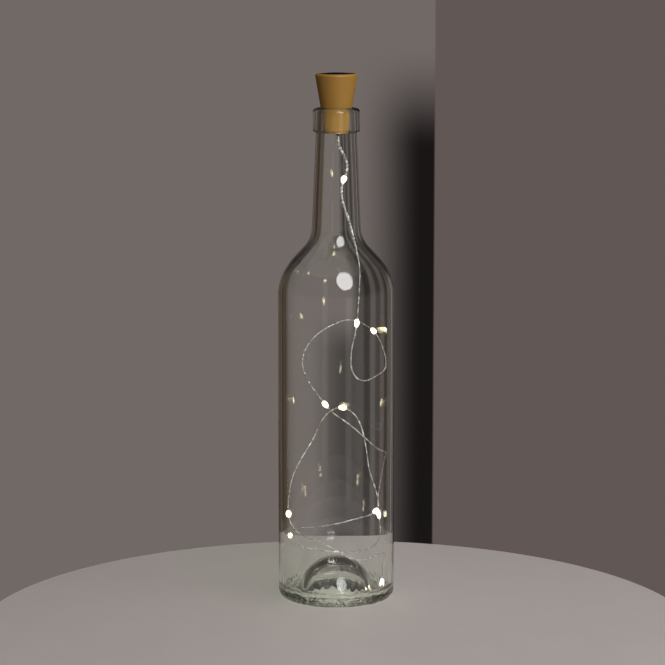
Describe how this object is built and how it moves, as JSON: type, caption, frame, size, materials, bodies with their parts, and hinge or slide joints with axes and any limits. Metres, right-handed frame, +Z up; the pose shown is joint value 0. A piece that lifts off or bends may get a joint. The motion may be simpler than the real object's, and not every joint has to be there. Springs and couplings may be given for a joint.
{
  "type": "cork bottle light",
  "caption": "Clear wine bottle closed by a cork-shaped solar stopper; a thin wire string of tiny warm lamps hangs from it and coils inside the bottle.",
  "frame": {"origin": "centre of the bottle's base, on the surface that it stands on", "axes": "+Z up along the bottle's axis, -Y towards the viewer of the picture, +X to the viewer's right"},
  "size_m": [0.0732, 0.0732, 0.3319],
  "materials": {
    "bottle_glass": "clear blown glass, faintly green where it is thick",
    "stopper_plastic": "moulded plastic, cork brown, satin",
    "window_resin": "clear cast resin, polished",
    "silicon": "dark silicon with fine silver contact lines",
    "black_board": "black solder mask",
    "green_board": "green solder mask",
    "black_plastic": "moulded black plastic",
    "choke_body": "green lacquer with coloured bands, tinned leads",
    "battery_sleeve": "green shrink sleeve over a nickel-plated can",
    "nickel": "thin nickel strip",
    "switch_steel": "pressed plated steel shell",
    "red_insulation": "red PVC insulation",
    "black_insulation": "black PVC insulation",
    "gland_rubber": "soft black rubber, satin",
    "string_wire": "silver-plated copper wire under clear lacquer",
    "drop_resin": "clear resin, glossy",
    "lamp_chip": "warm white light-emitting chip, lit"
  },
  "bodies": {
    "bottle": {"glass_bottle": "bottle_glass", "string_loops": "string_wire", "led_drop_02": "drop_resin", "led_drop_03": "drop_resin", "led_drop_04": "drop_resin", "led_drop_05": "drop_resin", "led_drop_06": "drop_resin", "led_drop_07": "drop_resin", "led_drop_08": "drop_resin", "led_drop_09": "drop_resin", "led_drop_10": "drop_resin", "led_chip_02": "lamp_chip", "led_chip_03": "lamp_chip", "led_chip_04": "lamp_chip", "led_chip_05": "lamp_chip", "led_chip_06": "lamp_chip", "led_chip_07": "lamp_chip", "led_chip_08": "lamp_chip", "led_chip_09": "lamp_chip", "led_chip_10": "lamp_chip"},
    "stopper": {"stopper_head": "stopper_plastic", "stopper_plug": "stopper_plastic", "solar_window": "window_resin", "solar_cell": "silicon", "cell_board": "black_board", "circuit_board": "green_board", "driver_chip": "black_plastic", "choke": "choke_body", "battery_cell": "battery_sleeve", "strip_upper": "nickel", "strip_lower": "nickel", "switch_board": "green_board", "switch_body": "switch_steel", "panel_wire_red": "red_insulation", "panel_wire_black": "black_insulation", "feed_wire": "string_wire", "wire_gland": "gland_rubber", "string_lead": "string_wire", "led_drop_01": "drop_resin", "led_chip_01": "lamp_chip"},
    "switch": {"switch_lever": "black_plastic"}
  },
  "joints": [
    {"name": "stopper_lift", "type": "slide", "parent": "bottle", "child": "stopper", "axis": [0, 0, 1], "range_m": [0, 0.022], "deforming": ["string_lead"]},
    {"name": "switch_slide", "type": "slide", "parent": "stopper", "child": "switch", "axis": [1, 0, 0], "range_m": [-0.0016, 0]}
  ]
}
